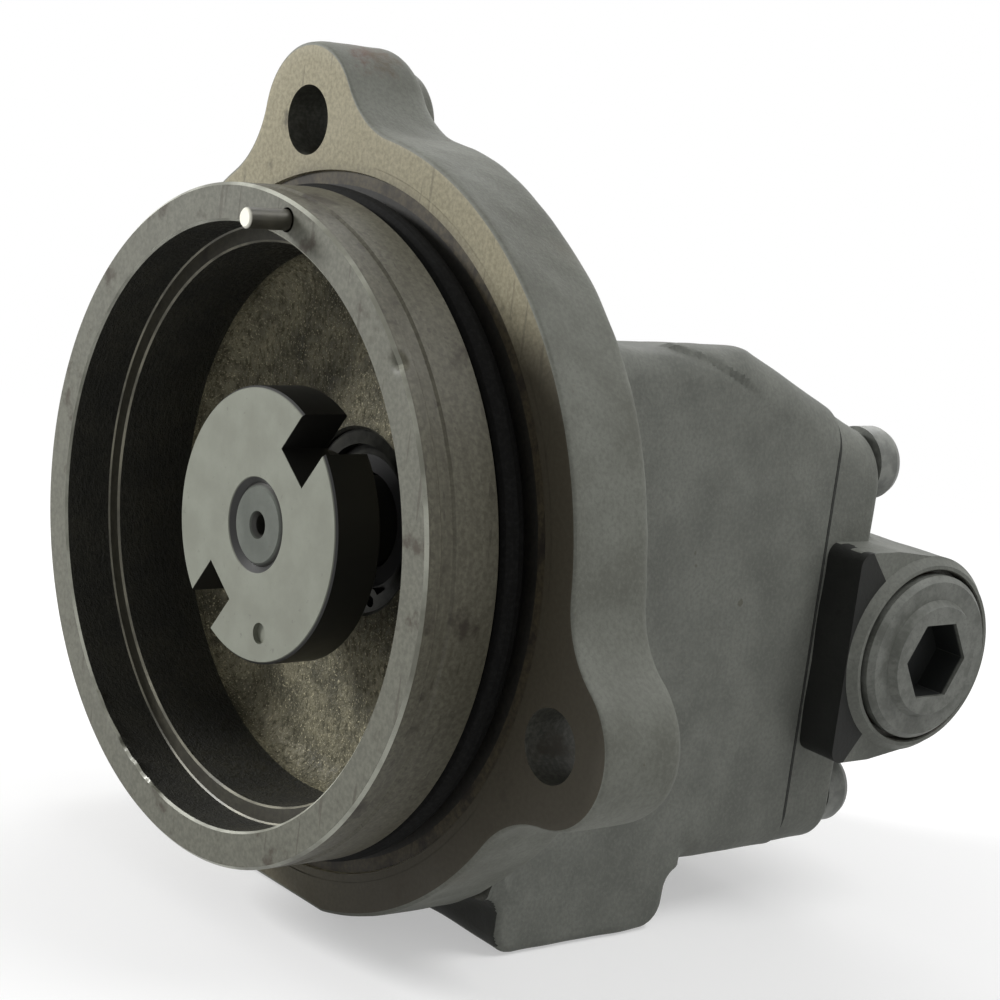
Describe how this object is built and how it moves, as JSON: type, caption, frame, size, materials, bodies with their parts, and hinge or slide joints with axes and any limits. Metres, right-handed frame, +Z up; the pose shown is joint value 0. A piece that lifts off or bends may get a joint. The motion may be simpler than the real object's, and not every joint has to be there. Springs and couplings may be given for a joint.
{
  "type": "fuel gear pump",
  "caption": "Flange-mounted fuel gear pump: round pilot and bell with a slotted drive coupler, cast gear case, rear cover with a cross-lying relief valve and its hexagon-socket plug.",
  "frame": {"origin": "where the drive axis crosses the flange mounting face", "axes": "Y along the drive axis with the drive end facing -Y, +Z up, +X towards the side with the relief valve plug"},
  "size_m": [0.1282, 0.1328, 0.1281],
  "materials": {
    "cast_iron": "as cast, fine grain, machined on the faces that seat",
    "ground_steel": "ground face, dark sides",
    "shaft_steel": "ground and hardened",
    "zinc_steel": "dull plated",
    "screw_steel": "dull, oiled",
    "spring_steel": "plain wire",
    "block_aluminium": "machined",
    "bronze": "machined",
    "copper": "soft, dull",
    "seal_rubber": "smooth black",
    "gasket_fibre": "pressed fibre sheet"
  },
  "bodies": {
    "housing": {"pump_flange": "cast_iron", "pump_body": "cast_iron", "rear_cover": "cast_iron", "rim_dowel_pin": "shaft_steel", "cover_dowels": "shaft_steel", "relief_plug": "zinc_steel", "seal_retaining_ring": "zinc_steel", "outer_seal_case": "zinc_steel", "inner_seal_case": "zinc_steel", "cover_bolts": "screw_steel", "relief_spring": "spring_steel", "outer_seal_spring": "spring_steel", "inner_seal_spring": "spring_steel", "front_bearing_block": "block_aluminium", "rear_bearing_block": "block_aluminium", "front_drive_bush": "bronze", "front_idler_bush": "bronze", "rear_drive_bush": "bronze", "rear_idler_bush": "bronze", "plug_washer": "copper", "pilot_o_ring": "seal_rubber", "block_seals": "seal_rubber", "outer_seal_lip": "seal_rubber", "inner_seal_lip": "seal_rubber", "cover_gasket": "gasket_fibre"},
    "drive": {"drive_shaft": "shaft_steel", "drive_coupler": "ground_steel", "drive_gear": "shaft_steel", "drive_gear_key": "shaft_steel"},
    "idler": {"idler_shaft": "shaft_steel", "idler_gear": "shaft_steel"},
    "relief_valve": {"relief_piston": "shaft_steel"}
  },
  "joints": [
    {"name": "drive_spin", "type": "hinge", "parent": "housing", "child": "drive", "pos_m": [0, 0, 0], "axis": [0, 1, 0], "continuous": true},
    {"name": "idler_spin", "type": "hinge", "parent": "housing", "child": "idler", "pos_m": [0, 0, -0.026], "axis": [0, 1, 0], "continuous": true},
    {"name": "relief_slide", "type": "slide", "parent": "housing", "child": "relief_valve", "axis": [1, 0, 0], "range_m": [0, 0.0065], "stiffness_N_per_m": 7500, "springref_m": -0.001, "deforming": ["relief_spring"]}
  ],
  "couplings": [
    {"joint": "idler_spin", "follows": "drive_spin", "ratio": -1}
  ]
}
